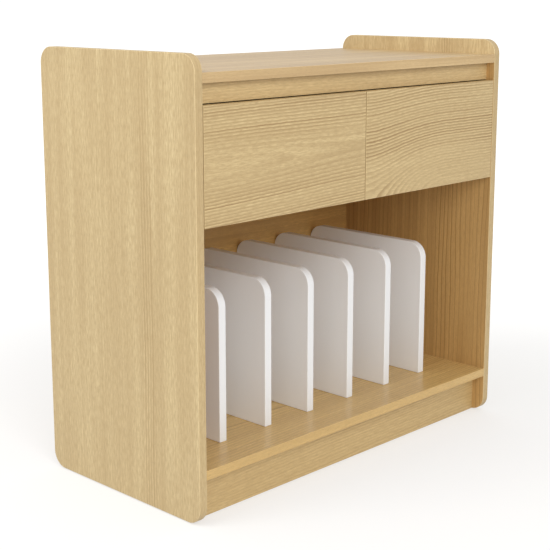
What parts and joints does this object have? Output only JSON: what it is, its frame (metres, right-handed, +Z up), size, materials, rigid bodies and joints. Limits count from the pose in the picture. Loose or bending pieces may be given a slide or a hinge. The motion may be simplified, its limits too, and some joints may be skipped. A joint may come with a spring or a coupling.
{
  "type": "book storage cabinet",
  "caption": "Low oak cabinet with rounded proud sides, a set-down top, handleless drawers on telescopic runners and an open bay of upright white dividers.",
  "frame": {"origin": "middle of the footprint, on the floor", "axes": "+X to the right seen from the front, +Y to the back, +Z up; the drawers open along -Y"},
  "size_m": [0.9, 0.44, 0.85],
  "materials": {
    "oak_veneer": "light oak veneer with a matt clear lacquer",
    "oak_front": "light oak veneer with a flowing grain, matt clear lacquer",
    "white_laminate": "white matt laminate with a satin edge",
    "birch_box": "pale birch plywood, clear lacquered",
    "beech_dowel": "plain beech",
    "runner_steel": "bright zinc-plated sheet steel",
    "cage_steel": "thin pressed steel cage with polished balls",
    "screw_steel": "zinc-plated steel",
    "zinc_cam": "die-cast zinc",
    "nylon_glide": "off-white nylon",
    "soft_bumper": "clear soft polyurethane"
  },
  "bodies": {
    "cabinet": {"left_side_panel": "oak_veneer", "right_side_panel": "oak_veneer", "top_panel": "oak_veneer", "front_rail": "oak_veneer", "drawer_deck": "oak_veneer", "drawer_partition": "oak_veneer", "bottom_shelf": "oak_veneer", "plinth_board": "oak_veneer", "rear_plinth_rail": "oak_veneer", "back_panel": "oak_veneer", "divider_1": "white_laminate", "divider_2": "white_laminate", "divider_3": "white_laminate", "divider_4": "white_laminate", "divider_5": "white_laminate", "divider_6": "white_laminate", "carcass_dowels": "beech_dowel", "cam_housings": "zinc_cam", "cam_bolts": "screw_steel", "divider_dowels": "beech_dowel", "back_panel_screws": "screw_steel", "floor_glides": "nylon_glide", "cabinet_runner_screws": "screw_steel", "left_drawer_left_runner_cabinet_member": "runner_steel", "left_drawer_right_runner_cabinet_member": "runner_steel", "right_drawer_left_runner_cabinet_member": "runner_steel", "right_drawer_right_runner_cabinet_member": "runner_steel"},
    "left_drawer": {"left_drawer_front": "oak_front", "left_drawer_left_side": "birch_box", "left_drawer_right_side": "birch_box", "left_drawer_inner_front": "birch_box", "left_drawer_back": "birch_box", "left_drawer_bottom": "birch_box", "left_drawer_left_runner_drawer_member": "runner_steel", "left_drawer_right_runner_drawer_member": "runner_steel", "left_drawer_runner_screws": "screw_steel", "left_drawer_box_dowels": "beech_dowel", "left_drawer_front_screws": "screw_steel", "left_drawer_bumpers": "soft_bumper"},
    "left_middle_members": {"left_drawer_left_runner_middle_member": "runner_steel", "left_drawer_right_runner_middle_member": "runner_steel"},
    "left_outer_cages": {"left_drawer_outer_ball_cages": "cage_steel"},
    "left_inner_cages": {"left_drawer_inner_ball_cages": "cage_steel"},
    "right_drawer": {"right_drawer_front": "oak_front", "right_drawer_left_side": "birch_box", "right_drawer_right_side": "birch_box", "right_drawer_inner_front": "birch_box", "right_drawer_back": "birch_box", "right_drawer_bottom": "birch_box", "right_drawer_left_runner_drawer_member": "runner_steel", "right_drawer_right_runner_drawer_member": "runner_steel", "right_drawer_runner_screws": "screw_steel", "right_drawer_box_dowels": "beech_dowel", "right_drawer_front_screws": "screw_steel", "right_drawer_bumpers": "soft_bumper"},
    "right_middle_members": {"right_drawer_left_runner_middle_member": "runner_steel", "right_drawer_right_runner_middle_member": "runner_steel"},
    "right_outer_cages": {"right_drawer_outer_ball_cages": "cage_steel"},
    "right_inner_cages": {"right_drawer_inner_ball_cages": "cage_steel"}
  },
  "joints": [
    {"name": "left_drawer_slide", "type": "slide", "parent": "cabinet", "child": "left_drawer", "axis": [0, -1, 0], "range_m": [0, 0.35]},
    {"name": "left_middle_members_slide", "type": "slide", "parent": "cabinet", "child": "left_middle_members", "axis": [0, -1, 0], "range_m": [0, 0.175]},
    {"name": "left_outer_cages_slide", "type": "slide", "parent": "cabinet", "child": "left_outer_cages", "axis": [0, -1, 0], "range_m": [0, 0.0875]},
    {"name": "left_inner_cages_slide", "type": "slide", "parent": "cabinet", "child": "left_inner_cages", "axis": [0, -1, 0], "range_m": [0, 0.2625]},
    {"name": "right_drawer_slide", "type": "slide", "parent": "cabinet", "child": "right_drawer", "axis": [0, -1, 0], "range_m": [0, 0.35]},
    {"name": "right_middle_members_slide", "type": "slide", "parent": "cabinet", "child": "right_middle_members", "axis": [0, -1, 0], "range_m": [0, 0.175]},
    {"name": "right_outer_cages_slide", "type": "slide", "parent": "cabinet", "child": "right_outer_cages", "axis": [0, -1, 0], "range_m": [0, 0.0875]},
    {"name": "right_inner_cages_slide", "type": "slide", "parent": "cabinet", "child": "right_inner_cages", "axis": [0, -1, 0], "range_m": [0, 0.2625]}
  ],
  "couplings": [
    {"joint": "left_middle_members_slide", "follows": "left_drawer_slide", "ratio": 0.5},
    {"joint": "left_outer_cages_slide", "follows": "left_drawer_slide", "ratio": 0.25},
    {"joint": "left_inner_cages_slide", "follows": "left_drawer_slide", "ratio": 0.75},
    {"joint": "right_middle_members_slide", "follows": "right_drawer_slide", "ratio": 0.5},
    {"joint": "right_outer_cages_slide", "follows": "right_drawer_slide", "ratio": 0.25},
    {"joint": "right_inner_cages_slide", "follows": "right_drawer_slide", "ratio": 0.75}
  ]
}
